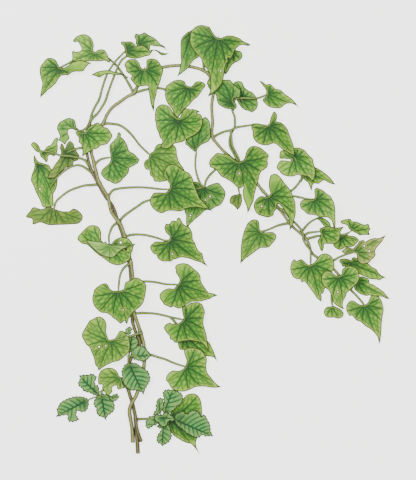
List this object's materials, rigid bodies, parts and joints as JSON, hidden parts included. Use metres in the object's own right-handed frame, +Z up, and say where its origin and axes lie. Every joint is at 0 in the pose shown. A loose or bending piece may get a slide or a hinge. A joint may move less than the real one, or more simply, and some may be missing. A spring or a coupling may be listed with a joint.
{
  "type": "cut black bryony vine",
  "caption": "Cut climbing vine laid flat: two stems twisted together, an arching shoot, heart-shaped and lobed leaves on long stalks, and toothed compound leaves",
  "frame": {"origin": "middle of the plant's bounding box, on the surface that it lies on", "axes": "+Z up off the surface, +Y along the plant from its cut stem ends to its top leaves, +X to the side where the vine trails"},
  "size_m": [0.546, 0.642, 0.0189],
  "materials": {
    "stem_light": "satin, fibrous, with fine lengthwise ridges",
    "stem_dark": "matte, fibrous, with fine lengthwise ridges",
    "leaf_green": "thin living leaf, softly waxy, with raised veins",
    "leaf_pale": "pale underside of a leaf, matte",
    "leaflet_blue": "thin bluish-green leaflet, matte, with parallel side veins"
  },
  "bodies": {
    "root": {"stem_light": "stem_light", "stem_dark": "stem_dark", "leaf_upper_left": "leaf_green", "leaf_pale_top": "leaf_pale", "leaf_sliver": "leaf_green", "leaf_top_front": "leaf_green", "leaf_top_back": "leaf_green", "leaf_arch_left": "leaf_green", "leaf_arch_top_left": "leaf_green", "leaf_arch_top": "leaf_green", "leaf_arch_top_back": "leaf_green", "leaf_arch_inner": "leaf_green", "leaf_centre_upper": "leaf_green", "leaf_centre_back": "leaf_green", "leaf_centre_left": "leaf_green", "leaf_centre_large": "leaf_green", "leaf_centre_lower": "leaf_green", "leaf_left_inner": "leaf_green", "leaf_left_bright": "leaf_green", "leaf_left_crook": "leaf_green", "leaf_far_left": "leaf_green", "leaf_left_olive": "leaf_green", "leaf_left_hanging": "leaf_green", "leaf_left_brown": "leaf_green", "leaf_folded": "leaf_green", "leaf_middle": "leaf_green", "leaf_over_stems": "leaf_green", "leaf_middle_right": "leaf_green", "leaf_lower_middle": "leaf_green", "leaf_lower_dark": "leaf_green", "leaf_lower_right": "leaf_green", "leaf_lower_left": "leaf_green", "leaf_pale_curled": "leaf_pale", "compound_leaf_left": "leaflet_blue", "compound_leaf_over_stems": "leaflet_blue", "compound_leaf_base": "leaflet_blue", "leaf_base_heart": "leaf_green", "leaf_right_top": "leaf_green", "leaf_pair_right_top": "leaf_green", "leaf_right_upper": "leaf_green", "leaf_right_middle": "leaf_green", "leaf_right_tip": "leaf_green", "leaf_vine_large": "leaf_green", "leaf_vine_olive": "leaf_green", "leaf_vine_spotted": "leaf_green", "leaf_vine_hanging": "leaf_green", "leaf_far_right_upper": "leaf_green", "leaf_far_right_inner": "leaf_green", "leaf_far_right_heart": "leaf_green", "leaf_far_right_dark": "leaf_green", "leaf_far_right_small": "leaf_green", "leaf_far_right_yellow": "leaf_green", "leaf_far_right_under": "leaf_green", "leaf_lowest_right": "leaf_green", "leaf_bluish": "leaf_green", "leaf_over_vine": "leaf_green", "leaf_lower_over": "leaf_green", "leaf_small_lower": "leaf_green"}
  },
  "joints": []
}
